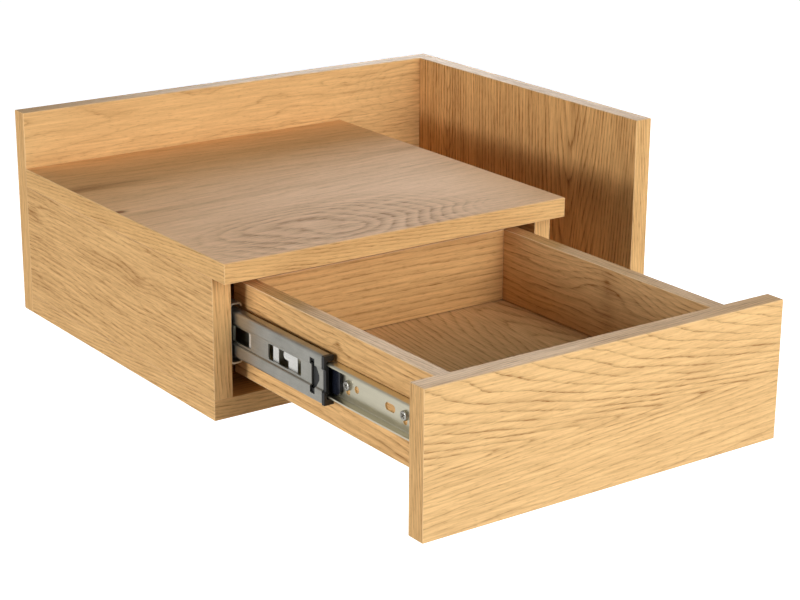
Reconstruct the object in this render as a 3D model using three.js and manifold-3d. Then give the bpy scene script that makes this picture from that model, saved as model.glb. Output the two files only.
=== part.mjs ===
// Floating nightstand: a wall-hung shelf unit in oak decor board with one drawer on two
// ball-bearing slides. Millimetres, +Z up. The origin is the centre of the back panel's wall
// face, the wall is the plane y = 0 and the room is towards -y. The drawer stands part open.

import * as THREE from 'three'
import { mergeVertices } from 'three/addons/utils/BufferGeometryUtils.js'
import Module from 'manifold-3d'

// Carcass: the whole unit, the open slot between its shelf cabinet and its end panel, and how
// far the back panel stands above the cabinet's top. The slide's length sets the depth.
const unitWidth = 400
const unitHeight = 165
const boardThickness = 15
const slotWidth = 85
const backRise = 45

// Drawer: its box is as long as the slide and fills the cabinet but for these clearances
const drawerLeftToOpen = 20
const drawerSideThickness = 12
const drawerBoxRaise = 26
const drawerBoxTopGap = 9
const drawerFrontRaise = 1
const drawerFrontTopGap = 3
const drawerClosedGap = 2
const drawerPanelThickness = 3
const drawerPanelRaise = 11
const grooveDepth = 6

// Ball-bearing slide
const slideLength = 250
const slideHeight = 45
const slideThickness = 13
const slideSetback = 2
const slideRearSpace = 36
const steelThickness = 1.2
const webGap = 0.4
const cageThickness = 0.6
const cageStripThickness = 1.2
const outerBallDiameter = 3.6
const innerBallDiameter = 3.2
const ballPlay = 0.2
const ballEndMargin = 7
const ballsPerRow = 7
const outerCageFrontGap = 6
const outerCageRearGap = 3
const innerCageFrontGap = 8
const innerCageRearGap = 1.5
const cageOpeningShares = [[0.13, 0.27], [0.35, 0.65], [0.71, 0.93]]
const cageOpeningMargin = 1
const cageTongueReach = 6.2
const cageTongueWidth = 5.6
const cageTongueRaise = 2.4
const cabinetTipGap = 3.4
const middleTipGap = 2.6
const cabinetLip = 3
const middleLip = 2.7
const drawerLip = 2
const recessDepth = 1.4
const recessBend = 1
const recessShoulder = 0.8
const middleSetback = 3.5
const middleRearSetback = 6

// Openings in the slide's middle member, measured back from its steel front end
const windowHeight = 11.4
const frontWindowStart = 27
const frontWindowLength = 41
const rearWindowStart = 90.5
const rearWindowLength = 24
const bumperCutStart = 4.7
const bumperCutLength = 9.5
const bumperCutHeight = 25
const bumperHookLength = 5.7
const bumperShoulderShare = 0.3
const bumperTipShare = 1 / 16

// Plastic bumper in the front of the middle member
const bumperNoseLength = 3
const bumperTongueLength = 20.5
const bumperTongueThickness = 1.2
const bumperArmThickness = 4.1

// Holes in the slide's drawer member, measured back from the drawer front
const frontDrawerScrewPlace = 41
const rearDrawerScrewPlace = 105
const drawerSlotWidth = 4.6
const drawerSlotHeight = 10
const drawerSlotDrop = 1.6
const ovalHolePlace = 57.5
const ovalHoleLength = 11
const ovalHoleHeight = 5.4
const roundHolePlace = 95
const roundHoleDiameter = 5

// Release lever on the drawer member
const leverLength = 40
const leverThickness = 2.2
const leverHeight = 8
const leverPadLength = 24
const leverPadHeight = 18.8
const leverPadCorner = 3
const leverScrewGap = 2.5
const leverPivotInset = 12
const leverPivotDiameter = 4

// Screws and dowels
const fit = 0.3
const screwCover = 2.5
const slideScrewDiameter = 3.5
const slideScrewHeadDiameter = 7
const panHeadHeight = 2.2
const countersinkRim = 0.4
const frontCabinetScrewPlace = 35
const rearCabinetScrewInset = 55
const longScrewLength = 50
const longScrewHeadDiameter = 10
const longScrewShankDiameter = 7
const longScrewThreadDiameter = 5
const longScrewShankLength = 13
const screwTipLength = 2
const dowelDiameter = 8
const dowelLength = 30
const dowelCover = 5
const dowelChamfer = 1
const drawerDowelDiameter = 6
const drawerDowelLength = 24
const drawerDowelCover = 4
const drawerDowelLowRaise = 22
const drawerDowelTopInset = 12
const jointRearInset = 45
const jointFrontInset = 60
const topScrewInset = 35
const endScrewInset = 32

// Keyhole hangers let into the wall face
const hangerEndInset = 80
const hangerCentreDrop = 33
const hangerWidth = 18
const hangerLength = 58
const hangerThickness = 2
const hangerScrewInset = 7
const hangerScrewDiameter = 3.5
const hangerScrewHeadDiameter = 6.6
const keyholeDiameter = 10
const keyholeDrop = 8
const keyholeSlotWidth = 5
const keyholeSlotLength = 18
const pocketDepth = 9
const pocketMargin = 2

// Facets round a turned piece, and how far a cut overruns the face it opens
const turnedFacets = 12
const ballFacets = 6
const ballRings = 4
const ballTurn = 0.3
const overrun = 1

// Planes of the carcass
const leftEnd = -unitWidth / 2
const rightEnd = unitWidth / 2
const underside = -unitHeight / 2
const crown = unitHeight / 2
const backFront = -boardThickness
const shelfTop = crown - backRise
const shelfUnder = shelfTop - boardThickness
const floorTop = underside + boardThickness
const endPanelInner = rightEnd - boardThickness
const cabinetRight = endPanelInner - slotWidth
const caseLeft = leftEnd + boardThickness
const caseRight = cabinetRight - boardThickness
const cabinetMemberRear = backFront - slideRearSpace
const cabinetMemberFront = cabinetMemberRear - slideLength
const sideFront = cabinetMemberFront - slideSetback
const shelfFront = sideFront - drawerClosedGap - boardThickness

// Planes of the drawer, as it stands
const drawerOpening = slideLength - drawerLeftToOpen
const frontBack = sideFront - drawerClosedGap - drawerOpening
const frontFace = frontBack - boardThickness
const boxRear = frontBack + slideLength
const boxBackInner = boxRear - drawerSideThickness
const boxLeft = caseLeft + slideThickness
const boxRight = caseRight - slideThickness
const boxLeftInner = boxLeft + drawerSideThickness
const boxRightInner = boxRight - drawerSideThickness
const boxUnder = underside + drawerBoxRaise
const boxTop = shelfUnder - drawerBoxTopGap
const slideHeightCentre = (boxUnder + boxTop) / 2
const panelUnder = boxUnder + drawerPanelRaise
const panelTop = panelUnder + drawerPanelThickness

// Colours and finishes
const finishes = {
  oak: { color: 0xd9ab6b, roughness: 0.55, metalness: 0 },
  steel: { color: 0xa9aaa6, roughness: 0.35, metalness: 0.9 },
  cage: { color: 0xbfc0bd, roughness: 0.4, metalness: 0.85 },
  blackPlastic: { color: 0x1b1b1c, roughness: 0.5, metalness: 0 },
  screw: { color: 0xc8c8c6, roughness: 0.3, metalness: 0.9 },
  beech: { color: 0xdcc49b, roughness: 0.7, metalness: 0 },
}

const axes = {
  x: new THREE.Vector3(1, 0, 0),
  y: new THREE.Vector3(0, 1, 0),
  z: new THREE.Vector3(0, 0, 1),
  minusX: new THREE.Vector3(-1, 0, 0),
  minusY: new THREE.Vector3(0, -1, 0),
}

const wasm = await Module()
wasm.setup()

// A closed solid from a geometry whose corners are merged by position alone.
function solidOf(geometry) {
  const bare = geometry.clone()
  bare.deleteAttribute('normal')
  bare.deleteAttribute('uv')
  const merged = mergeVertices(bare)
  const vertProperties = new Float32Array(merged.attributes.position.array)
  const triVerts = new Uint32Array(merged.index.array)
  return new wasm.Manifold(new wasm.Mesh({ numProp: 3, vertProperties, triVerts }))
}

function geometryOf(solid) {
  const mesh = solid.getMesh()
  const geometry = new THREE.BufferGeometry()
  geometry.setAttribute('position', new THREE.BufferAttribute(new Float32Array(mesh.vertProperties), 3))
  geometry.setIndex(new THREE.BufferAttribute(new Uint32Array(mesh.triVerts), 1))
  geometry.computeVertexNormals()
  return geometry
}

// A geometry with cutters taken away from it.
function cut(geometry, cutters) {
  return geometryOf(cutters.reduce((solid, cutter) => solid.subtract(solidOf(cutter)), solidOf(geometry)))
}

function joined(geometries) {
  const [first, ...others] = geometries.map(solidOf)
  return geometryOf(others.reduce((solid, other) => solid.add(other), first))
}

// A box between two planes on each axis, given in either order.
function block([x0, x1], [y0, y1], [z0, z1]) {
  const geometry = new THREE.BoxGeometry(Math.abs(x1 - x0), Math.abs(y1 - y0), Math.abs(z1 - z0))
  return geometry.translate((x0 + x1) / 2, (y0 + y1) / 2, (z0 + z1) / 2)
}

// An outline of [x, z] points carried along y from one plane to another.
function alongY(points, yRear, yFront) {
  const shape = new THREE.Shape(points.map(([x, z]) => new THREE.Vector2(x, z)))
  const geometry = new THREE.ExtrudeGeometry(shape, { depth: yRear - yFront, bevelEnabled: false })
  geometry.applyMatrix4(new THREE.Matrix4().makeBasis(axes.x, axes.z, axes.minusY))
  return geometry.translate(0, yRear, 0)
}

// An outline of [y, z] points carried along x from one plane to another.
function alongX(points, xFrom, xTo) {
  const low = Math.min(xFrom, xTo)
  const shape = new THREE.Shape(points.map(([y, z]) => new THREE.Vector2(y, z)))
  const geometry = new THREE.ExtrudeGeometry(shape, { depth: Math.abs(xTo - xFrom), bevelEnabled: false })
  geometry.applyMatrix4(new THREE.Matrix4().makeBasis(axes.y, axes.z, axes.x))
  return geometry.translate(low, 0, 0)
}

// A profile of [radius, distance] points turned about the axis that starts at a place and runs
// in a direction. The frame round the direction is right-handed and holds whole numbers only.
function turned(profile, [x, y, z], direction) {
  const geometry = new THREE.LatheGeometry(profile.map(([r, d]) => new THREE.Vector2(r, d)), turnedFacets)
  const sideways = Math.abs(direction.z) > 0 ? axes.x : axes.z
  const third = new THREE.Vector3().crossVectors(sideways, direction)
  geometry.applyMatrix4(new THREE.Matrix4().makeBasis(sideways, direction, third))
  return geometry.translate(x, y, z)
}

function rod(diameter, length, grow) {
  const radius = diameter / 2 + grow
  return [[0, -grow], [radius, -grow], [radius, length + grow], [0, length + grow]]
}

function dowel(diameter, length) {
  const radius = diameter / 2
  const tip = radius - dowelChamfer
  const straight = [[radius, dowelChamfer], [radius, length - dowelChamfer]]
  return [[0, 0], [tip, 0], ...straight, [tip, length], [0, length]]
}

// A countersunk screw from its flush head face inwards. Grown, it is the hole that clears it.
function countersunk(headDiameter, shankDiameter, length, grow) {
  const head = headDiameter / 2 + grow
  const shank = shankDiameter / 2 + grow
  const start = grow > 0 ? -overrun : 0
  const rim = countersinkRim + grow
  const neck = rim + (headDiameter - shankDiameter) / 2
  const end = length + grow
  const tip = grow > 0 ? [[shank, end]] : [[shank, end - screwTipLength]]
  return [[0, start], [head, start], [head, rim], [shank, neck], ...tip, [0, end]]
}

// A long countersunk furniture screw: head, plain shank, then a thinner threaded part.
function longScrew(grow) {
  const head = longScrewHeadDiameter / 2 + grow
  const shank = longScrewShankDiameter / 2 + grow
  const thread = longScrewThreadDiameter / 2 + grow
  const start = grow > 0 ? -overrun : 0
  const rim = countersinkRim + grow
  const neck = rim + (longScrewHeadDiameter - longScrewShankDiameter) / 2
  const end = longScrewLength + grow
  const tip = grow > 0 ? [[thread, end]] : [[thread, end - screwTipLength]]
  const shankEnd = longScrewShankLength + grow
  const body = [[shank, neck], [shank, shankEnd], [thread, shankEnd]]
  return [[0, start], [head, start], [head, rim], ...body, ...tip, [0, end]]
}

// A pan-head screw: the domed head stands out on the -distance side, the shank runs inwards.
function panHeadScrew(length) {
  const head = slideScrewHeadDiameter / 2
  const shank = slideScrewDiameter / 2
  const crownRadius = head - panHeadHeight / 2
  const waist = -panHeadHeight / 2
  const dome = [[0, -panHeadHeight], [crownRadius, -panHeadHeight], [head, waist], [head, 0]]
  return [...dome, [shank, 0], [shank, length - screwTipLength], [0, length]]
}

const nightstand = new THREE.Group()

function add(parent, name, geometry, finish) {
  const mesh = new THREE.Mesh(geometry, new THREE.MeshStandardMaterial(finishes[finish]))
  mesh.name = name
  parent.add(mesh)
  return mesh
}

// Fixings between boards

const sideCentres = { left: leftEnd + boardThickness / 2, right: cabinetRight - boardThickness / 2 }
const jointRows = { front: sideFront + jointFrontInset, rear: backFront - jointRearInset }
const shelfMiddle = shelfTop - boardThickness / 2
const floorMiddle = underside + boardThickness / 2
const endPanelMiddle = rightEnd - boardThickness / 2

const rearScrews = {
  rear_screw_shelf_left: [leftEnd + topScrewInset, 0, shelfMiddle],
  rear_screw_shelf_right: [cabinetRight - topScrewInset, 0, shelfMiddle],
  rear_screw_end_upper: [endPanelMiddle, 0, crown - endScrewInset],
  rear_screw_end_lower: [endPanelMiddle, 0, underside + endScrewInset],
}

const underScrews = {}
const shelfDowels = {}
for (const [side, x] of Object.entries(sideCentres)) {
  for (const [row, y] of Object.entries(jointRows)) {
    underScrews[`under_screw_${side}_${row}`] = [x, y, underside]
    shelfDowels[`shelf_dowel_${side}_${row}`] = [x, y, shelfTop - dowelCover - dowelLength]
  }
}

const endDowels = {}
for (const [row, y] of Object.entries(jointRows)) {
  endDowels[`end_dowel_${row}`] = [rightEnd - dowelCover - dowelLength, y, floorMiddle]
}

const rearScrewHoles = Object.values(rearScrews).map((place) => turned(longScrew(fit), place, axes.minusY))
const underScrewHoles = Object.values(underScrews).map((place) => turned(longScrew(fit), place, axes.z))
const dowelHole = rod(dowelDiameter, dowelLength, fit)
const shelfDowelHoles = Object.values(shelfDowels).map((place) => turned(dowelHole, place, axes.z))
const endDowelHoles = Object.values(endDowels).map((place) => turned(dowelHole, place, axes.x))

// Keyhole hangers

const hangerCentres = { left: leftEnd + hangerEndInset, right: rightEnd - hangerEndInset }
const hangerCentreHeight = crown - hangerCentreDrop
const keyholeHeight = hangerCentreHeight - keyholeDrop
const hangerScrewHeights = {
  upper: hangerCentreHeight + hangerLength / 2 - hangerScrewInset,
  lower: hangerCentreHeight - hangerLength / 2 + hangerScrewInset,
}
const hangerScrewLength = boardThickness - screwCover
const hangerScrew = (grow) =>
  countersunk(hangerScrewHeadDiameter, hangerScrewDiameter, hangerScrewLength, grow)

function hangerScrewHoles(x) {
  const heights = Object.values(hangerScrewHeights)
  return heights.map((z) => turned(hangerScrew(fit), [x, 0, z], axes.minusY))
}

// The keyhole through the plate: a round mouth with a narrow slot rising from it.
function keyholeCutters(x, margin, depth) {
  const mouth = keyholeDiameter + 2 * margin
  const slot = keyholeSlotWidth / 2 + margin
  const slotTop = keyholeHeight + keyholeSlotLength
  const back = -depth - overrun
  return [
    turned(rod(mouth, depth + overrun, 0), [x, overrun, keyholeHeight], axes.minusY),
    block([x - slot, x + slot], [overrun, back + overrun], [keyholeHeight, slotTop + margin]),
  ]
}

function hangerPlate(x) {
  const half = hangerWidth / 2
  const ends = [hangerCentreHeight - hangerLength / 2, hangerCentreHeight + hangerLength / 2]
  const plate = block([x - half, x + half], [0, -hangerThickness], ends)
  const keyhole = keyholeCutters(x, 0, hangerThickness + overrun)
  return cut(plate, [...keyhole, ...hangerScrewHoles(x)])
}

function hangerRecess(x) {
  const half = hangerWidth / 2 + fit
  const low = hangerCentreHeight - hangerLength / 2 - fit
  const high = hangerCentreHeight + hangerLength / 2 + fit
  const plateSpace = block([x - half, x + half], [overrun, -hangerThickness], [low, high])
  return [plateSpace, ...hangerScrewHoles(x), ...keyholeCutters(x, pocketMargin, pocketDepth)]
}

// Slide screws

const cabinetScrewLength = boardThickness + steelThickness - screwCover
const drawerScrewLength = drawerSideThickness + steelThickness - screwCover
const cabinetScrewRows = {
  front: cabinetMemberFront + frontCabinetScrewPlace,
  rear: cabinetMemberRear - rearCabinetScrewInset,
}
const drawerScrewRows = {
  front: frontBack + frontDrawerScrewPlace,
  rear: frontBack + rearDrawerScrewPlace,
}
const cabinetScrew = (grow) =>
  countersunk(slideScrewHeadDiameter, slideScrewDiameter, cabinetScrewLength, grow)

// The two slides mirror each other: u runs from the cabinet side's face to the drawer side's.
const slideSides = {
  left: { face: caseLeft, inwards: axes.x, outwards: axes.minusX, sense: 1 },
  right: { face: caseRight, inwards: axes.minusX, outwards: axes.x, sense: -1 },
}
const across = (side, u) => side.face + side.sense * u
const drawerWebInner = slideThickness - steelThickness

function cabinetScrewHoles(side) {
  const rows = Object.values(cabinetScrewRows)
  const x = across(side, steelThickness)
  return rows.map((y) => turned(cabinetScrew(fit), [x, y, slideHeightCentre], side.outwards))
}

function drawerScrewHoles(side) {
  const rows = Object.values(drawerScrewRows)
  const x = across(side, drawerWebInner)
  const shape = rod(slideScrewDiameter, drawerScrewLength, fit)
  return rows.map((y) => turned(shape, [x, y, slideHeightCentre], side.inwards))
}

// Carcass boards

const carcass = new THREE.Group()
nightstand.add(carcass)

const hangerRecesses = Object.values(hangerCentres).flatMap(hangerRecess)
const backBoard = block([leftEnd, rightEnd], [0, backFront], [underside, crown])
add(carcass, 'back_panel', cut(backBoard, [...rearScrewHoles, ...hangerRecesses]), 'oak')

const endBoard = block([endPanelInner, rightEnd], [backFront, sideFront], [underside, crown])
add(carcass, 'right_end_panel', cut(endBoard, [...rearScrewHoles, ...endDowelHoles]), 'oak')

const shelfBoard = block([leftEnd, cabinetRight], [backFront, shelfFront], [shelfUnder, shelfTop])
add(carcass, 'cabinet_top', cut(shelfBoard, [...rearScrewHoles, ...shelfDowelHoles]), 'oak')

const sideCuts = [...shelfDowelHoles, ...underScrewHoles]
const leftBoard = block([leftEnd, caseLeft], [backFront, sideFront], [floorTop, shelfUnder])
const leftCuts = [...sideCuts, ...cabinetScrewHoles(slideSides.left)]
add(carcass, 'cabinet_left_side', cut(leftBoard, leftCuts), 'oak')

const rightBoard = block([caseRight, cabinetRight], [backFront, sideFront], [floorTop, shelfUnder])
const rightCuts = [...sideCuts, ...cabinetScrewHoles(slideSides.right)]
add(carcass, 'cabinet_right_side', cut(rightBoard, rightCuts), 'oak')

const floorBoard = block([leftEnd, endPanelInner], [backFront, sideFront], [underside, floorTop])
add(carcass, 'cabinet_bottom', cut(floorBoard, [...underScrewHoles, ...endDowelHoles]), 'oak')

for (const [side, x] of Object.entries(hangerCentres)) {
  add(carcass, `wall_hanger_${side}`, hangerPlate(x), 'steel')
  for (const [row, z] of Object.entries(hangerScrewHeights)) {
    const screw = turned(hangerScrew(0), [x, 0, z], axes.minusY)
    add(carcass, `wall_hanger_screw_${side}_${row}`, screw, 'screw')
  }
}

for (const [name, place] of Object.entries(rearScrews)) {
  add(carcass, name, turned(longScrew(0), place, axes.minusY), 'screw')
}
for (const [name, place] of Object.entries(underScrews)) {
  add(carcass, name, turned(longScrew(0), place, axes.z), 'screw')
}
for (const [name, place] of Object.entries(shelfDowels)) {
  add(carcass, name, turned(dowel(dowelDiameter, dowelLength), place, axes.z), 'beech')
}
for (const [name, place] of Object.entries(endDowels)) {
  add(carcass, name, turned(dowel(dowelDiameter, dowelLength), place, axes.x), 'beech')
}

// Drawer boards

const drawer = new THREE.Group()
nightstand.add(drawer)

const drawerSideMiddles = {
  left: boxLeft + drawerSideThickness / 2,
  right: boxRight - drawerSideThickness / 2,
}
const dowelRows = { low: boxUnder + drawerDowelLowRaise, high: boxTop - drawerDowelTopInset }
const backMiddle = boxRear - drawerSideThickness / 2
const frontDowels = {}
for (const [side, x] of Object.entries(drawerSideMiddles)) {
  for (const [row, z] of Object.entries(dowelRows)) {
    frontDowels[`drawer_front_dowel_${side}_${row}`] = [x, frontFace + dowelCover, z]
  }
}
const backDowels = {
  drawer_back_dowel_left: [boxLeft + drawerDowelCover, backMiddle, dowelRows.high],
  drawer_back_dowel_right: [boxRight - drawerDowelCover - drawerDowelLength, backMiddle, dowelRows.high],
}
const drawerDowelHole = rod(drawerDowelDiameter, drawerDowelLength, fit)
const dowelHoles = (dowels, direction) =>
  Object.values(dowels).map((place) => turned(drawerDowelHole, place, direction))
const frontDowelHoles = dowelHoles(frontDowels, axes.y)
const backDowelHoles = dowelHoles(backDowels, axes.x)

// The drawer's panel floats in one groove run round all four boards and rests on its lower face.
const panelReach = grooveDepth - fit
const groove = block(
  [boxLeftInner - grooveDepth, boxRightInner + grooveDepth],
  [frontBack - grooveDepth, boxBackInner + grooveDepth],
  [panelUnder, panelTop + fit],
)
const panel = block(
  [boxLeftInner - panelReach, boxRightInner + panelReach],
  [frontBack - panelReach, boxBackInner + panelReach],
  [panelUnder, panelTop],
)

const frontBoard = block(
  [leftEnd, cabinetRight],
  [frontFace, frontBack],
  [underside + drawerFrontRaise, shelfUnder - drawerFrontTopGap],
)
add(drawer, 'drawer_front', cut(frontBoard, [groove, ...frontDowelHoles]), 'oak')

const drawerSideCuts = [groove, ...frontDowelHoles, ...backDowelHoles]
const leftDrawerBoard = block([boxLeft, boxLeftInner], [frontBack, boxRear], [boxUnder, boxTop])
const leftDrawerCuts = [...drawerSideCuts, ...drawerScrewHoles(slideSides.left)]
add(drawer, 'drawer_left_side', cut(leftDrawerBoard, leftDrawerCuts), 'oak')

const rightDrawerBoard = block([boxRightInner, boxRight], [frontBack, boxRear], [boxUnder, boxTop])
const rightDrawerCuts = [...drawerSideCuts, ...drawerScrewHoles(slideSides.right)]
add(drawer, 'drawer_right_side', cut(rightDrawerBoard, rightDrawerCuts), 'oak')

const boxAcross = [boxLeftInner, boxRightInner]
const backDrawerBoard = block(boxAcross, [boxBackInner, boxRear], [boxUnder, boxTop])
add(drawer, 'drawer_back', cut(backDrawerBoard, [groove, ...backDowelHoles]), 'oak')
add(drawer, 'drawer_bottom', panel, 'oak')

for (const [name, place] of Object.entries(frontDowels)) {
  add(drawer, name, turned(dowel(drawerDowelDiameter, drawerDowelLength), place, axes.y), 'beech')
}
for (const [name, place] of Object.entries(backDowels)) {
  add(drawer, name, turned(dowel(drawerDowelDiameter, drawerDowelLength), place, axes.x), 'beech')
}

// Slide sections: u across the slide from the cabinet's face, v up from its centre line

const cabinetHalf = slideHeight / 2
const outerRowHeight = cabinetHalf - steelThickness - ballPlay - outerBallDiameter / 2
const middleHalf = outerRowHeight - outerBallDiameter / 2 - ballPlay
const innerRowHeight = middleHalf - steelThickness - ballPlay - innerBallDiameter / 2
const drawerHalf = innerRowHeight - innerBallDiameter / 2 - ballPlay

const outerCageWeb = steelThickness + webGap
const middleWeb = outerCageWeb + cageThickness + webGap
const innerCageWeb = middleWeb + steelThickness + webGap
const drawerTip = innerCageWeb + cageThickness + webGap
const middleTip = slideThickness - middleTipGap
const cabinetTip = slideThickness - cabinetTipGap
const outerCageTip = cabinetTip - steelThickness - webGap
const innerCageTip = middleTip - steelThickness - webGap
const outerRowCentre = (outerCageWeb + cageThickness + cabinetTip - steelThickness) / 2
const innerRowCentre = (innerCageWeb + cageThickness + middleTip - steelThickness) / 2

const cageStep = drawerHalf - drawerLip - webGap
const recessInner = cageStep - cageThickness - webGap
const recessHalf = recessInner - recessBend - recessShoulder

// An outline that repeats its upper half below the centre line, at a side of the cabinet.
function mirroredSection(side, upper) {
  const lower = upper.map(([u, v]) => [u, -v]).reverse()
  return [...upper, ...lower].map(([u, v]) => [across(side, u), slideHeightCentre + v])
}

// A channel with its web on one plane and lips turned in at the tips of its two flanges.
function channel(side, webOuter, tip, half, lip) {
  const t = steelThickness * Math.sign(tip - webOuter)
  return mirroredSection(side, [
    [webOuter + t, half - steelThickness],
    [tip - t, half - steelThickness],
    [tip - t, half - lip],
    [tip, half - lip],
    [tip, half],
    [webOuter, half],
  ])
}

// The middle member's channel has a band pressed in along its web.
function middleSection(side) {
  const inner = middleWeb + steelThickness
  return mirroredSection(side, [
    [inner + recessDepth, recessInner - recessBend],
    [inner, recessInner],
    [inner, middleHalf - steelThickness],
    [middleTip - steelThickness, middleHalf - steelThickness],
    [middleTip - steelThickness, middleHalf - middleLip],
    [middleTip, middleHalf - middleLip],
    [middleTip, middleHalf],
    [middleWeb, middleHalf],
    [middleWeb, recessHalf + recessBend],
    [middleWeb + recessDepth, recessHalf],
  ])
}

// The balls of one row, evenly spaced along a cage. Each is turned a little, as a rolling ball is,
// so that none of its facets' edges runs along the cage.
function ballRow(side, u, v, diameter, rear, front) {
  const balls = []
  const first = rear - ballEndMargin
  const step = (first - front - ballEndMargin) / (ballsPerRow - 1)
  for (let index = 0; index < ballsPerRow; index += 1) {
    const ball = new THREE.SphereGeometry(diameter / 2, ballFacets, ballRings)
    ball.rotateX(ballTurn).rotateY(ballTurn)
    balls.push(ball.translate(across(side, u), first - index * step, slideHeightCentre + v))
  }
  return balls
}

function outerCage(side, rear, front) {
  const low = outerRowHeight - cageStripThickness / 2
  const high = outerRowHeight + cageStripThickness / 2
  const inner = outerCageWeb + cageThickness
  const upper = [[inner, low], [outerCageTip, low], [outerCageTip, high], [outerCageWeb, high]]
  const strips = alongY(mirroredSection(side, upper), rear, front)
  const rows = [outerRowHeight, -outerRowHeight]
  const ballsOf = (v) => ballRow(side, outerRowCentre, v, outerBallDiameter, rear, front)
  return joined([strips, ...rows.flatMap(ballsOf)])
}

// The inner cage is a ladder: its web is opened between rungs.
function cageOpenings(side, front) {
  const half = cageStep - cageThickness - cageOpeningMargin
  const web = innerCageWeb + recessDepth
  const through = [across(side, web - overrun), across(side, web + cageThickness + overrun)]
  const upright = [slideHeightCentre - half, slideHeightCentre + half]
  return cageOpeningShares.map(([start, end]) =>
    block(through, [front + innerCageLength * start, front + innerCageLength * end], upright))
}

// A round-ended tongue stands back from the front rung into the first opening.
function cageTongue(side, front) {
  const radius = cageTongueWidth / 2
  const start = front + innerCageLength * cageOpeningShares[0][0]
  const centre = start + cageTongueReach - radius
  const height = slideHeightCentre + cageTongueRaise
  const outline = [[start - overrun, height - radius]]
  for (let index = 0; index <= turnedFacets / 2; index += 1) {
    const angle = index / turnedFacets * 2 * Math.PI - Math.PI / 2
    outline.push([centre + radius * Math.cos(angle), height + radius * Math.sin(angle)])
  }
  outline.push([start - overrun, height + radius])
  const web = innerCageWeb + recessDepth
  return alongX(outline, across(side, web), across(side, web + cageThickness))
}

function innerCage(side, rear, front) {
  const low = innerRowHeight - cageStripThickness / 2
  const high = innerRowHeight + cageStripThickness / 2
  const inner = innerCageWeb + cageThickness
  const strips = alongY(mirroredSection(side, [
    [inner + recessDepth, cageStep],
    [inner, cageStep],
    [inner, low],
    [innerCageTip, low],
    [innerCageTip, high],
    [innerCageWeb, high],
    [innerCageWeb, cageStep - cageThickness],
    [innerCageWeb + recessDepth, cageStep - cageThickness],
  ]), rear, front)
  const rows = [innerRowHeight, -innerRowHeight]
  const ballsOf = (v) => ballRow(side, innerRowCentre, v, innerBallDiameter, rear, front)
  const ladder = cut(strips, cageOpenings(side, front))
  return joined([ladder, cageTongue(side, front), ...rows.flatMap(ballsOf)])
}

// Where the members stand with the drawer part open: the middle member goes half the drawer's
// way, the outer cage a quarter of it and the inner cage three quarters.
const middleFront = cabinetMemberFront + middleSetback - drawerOpening / 2
const middleLength = slideLength - middleSetback - middleRearSetback
const tongueRear = middleFront + bumperTongueLength
const outerCageFront = cabinetMemberFront + outerCageFrontGap + drawerLeftToOpen / 4
const innerCageFront = tongueRear + innerCageFrontGap + drawerLeftToOpen / 4

// At full extension each cage ends a little short of the member that rides out on it.
const outerOverlap = slideLength / 2 - middleRearSetback
const innerOverlap = slideLength / 2 - middleSetback - slideSetback - drawerClosedGap
const outerCageLength = outerOverlap - outerCageFrontGap - outerCageRearGap
const innerCageLength = innerOverlap - bumperTongueLength - innerCageFrontGap - innerCageRearGap

// A window through the middle member's web, measured back from its steel front end.
function webWindow(side, start, length) {
  const through = [across(side, middleWeb - overrun), across(side, drawerTip + overrun)]
  const along = [middleFront + start, middleFront + start + length]
  const halfHeight = windowHeight / 2
  return block(through, along, [slideHeightCentre - halfHeight, slideHeightCentre + halfHeight])
}

// The opening behind which the bumper's tongue shows: an upright slot that swells forwards to a
// blunt point between its two ends.
function bumperCut(side) {
  const front = middleFront + bumperCutStart
  const rear = front + bumperCutLength
  const shoulder = rear - bumperHookLength
  const upper = [
    [rear, bumperCutHeight / 2],
    [shoulder, bumperCutHeight / 2],
    [shoulder, bumperCutHeight * bumperShoulderShare],
    [front, bumperCutHeight * bumperTipShare],
  ]
  const lower = upper.map(([y, v]) => [y, -v]).reverse()
  const points = [...upper, ...lower].map(([y, v]) => [y, slideHeightCentre + v])
  return alongX(points, across(side, middleWeb - overrun), across(side, drawerTip + overrun))
}

function middleMember(side) {
  const bar = alongY(middleSection(side), middleFront + middleLength, middleFront)
  return cut(bar, [
    webWindow(side, frontWindowStart, frontWindowLength),
    webWindow(side, rearWindowStart, rearWindowLength),
    bumperCut(side),
  ])
}

// The bumper: a nose that caps the steel end, banded as the steel is, and a tongue lying behind
// the web.
function bumper(side) {
  const armLow = middleHalf - bumperArmThickness
  const tongueTop = armLow - ballPlay
  const shallow = innerCageWeb - webGap + fit
  const deep = shallow + recessDepth
  const plateInner = drawerTip - webGap
  const tongueStep = cageStep - cageThickness
  const nose = alongY(mirroredSection(side, [
    [deep + bumperTongueThickness, cageStep],
    [plateInner, cageStep],
    [plateInner, armLow],
    [middleTip, armLow],
    [middleTip, middleHalf],
    [middleWeb, middleHalf],
    [middleWeb, recessHalf + recessBend],
    [middleWeb + recessDepth, recessHalf],
  ]), middleFront, middleFront - bumperNoseLength)
  const tongue = alongY(mirroredSection(side, [
    [deep + bumperTongueThickness, cageStep],
    [plateInner, cageStep],
    [plateInner, tongueTop],
    [shallow, tongueTop],
    [shallow, tongueStep],
    [deep, tongueStep],
  ]), tongueRear, middleFront - bumperNoseLength / 2)
  return joined([nose, tongue])
}

// An upright rounded slot, or a level one, through the drawer member's web.
function roundedSlot(side, y, z, length, width, upright) {
  const radius = width / 2
  const reach = length / 2 - radius
  const outline = []
  for (let index = 0; index < turnedFacets; index += 1) {
    const angle = (index + 0.5) / turnedFacets * 2 * Math.PI
    const along = radius * Math.cos(angle) + reach * Math.sign(Math.cos(angle))
    const wide = radius * Math.sin(angle)
    outline.push(upright ? [y - wide, z + along] : [y + along, z + wide])
  }
  const from = across(side, drawerWebInner - overrun)
  return alongX(outline, from, across(side, slideThickness + overrun))
}

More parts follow.
